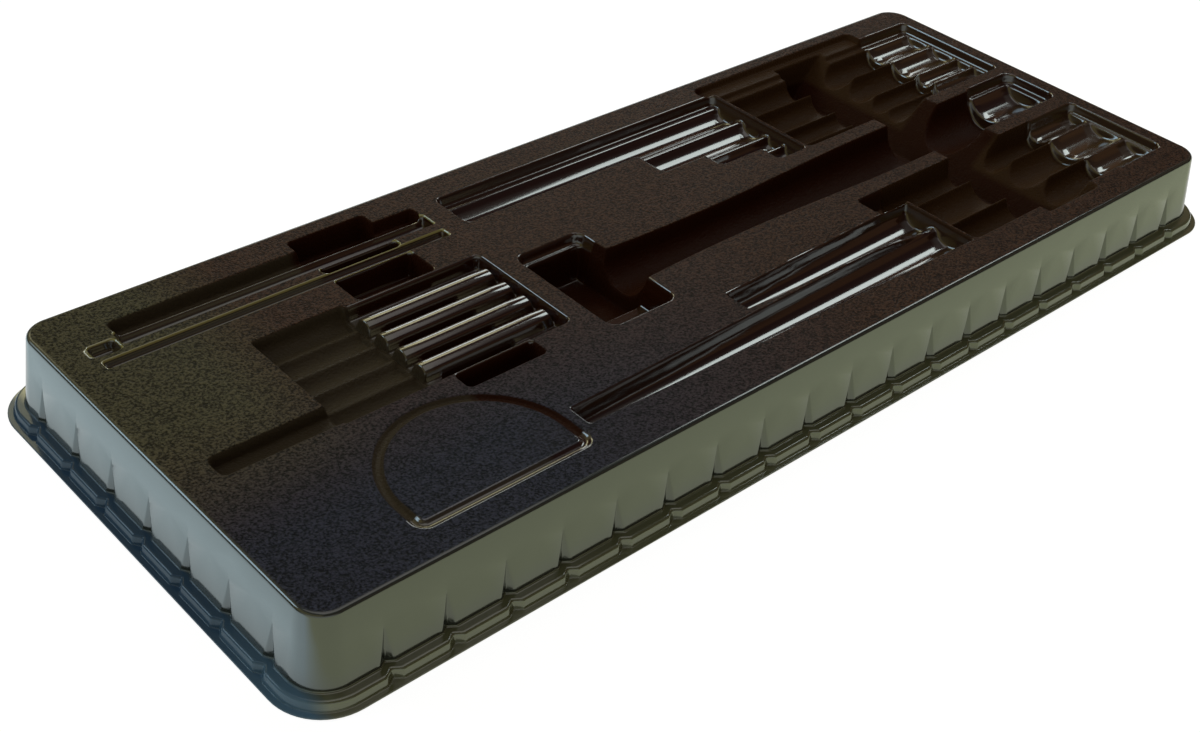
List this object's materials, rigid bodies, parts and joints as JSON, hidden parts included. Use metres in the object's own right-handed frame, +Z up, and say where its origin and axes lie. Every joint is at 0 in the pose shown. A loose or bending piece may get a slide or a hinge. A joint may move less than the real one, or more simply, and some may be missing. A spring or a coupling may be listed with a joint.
{
  "type": "tool insert tray",
  "caption": "Vacuum-formed plastic insert tray with fluted walls, a thin flange and moulded pockets for a hammer, handled tools and small tools.",
  "frame": {"origin": "middle of the footprint, on the surface the flange rests on", "axes": "+X along the tray, +Y across it towards the screwdriver pockets, +Z up"},
  "size_m": [0.5842, 0.2382, 0.0394],
  "materials": {
    "formed_sheet": "black styrene sheet, finely grained on the deck and glossy in the blade channels"
  },
  "bodies": {
    "root": {"tray": "formed_sheet"}
  },
  "joints": []
}
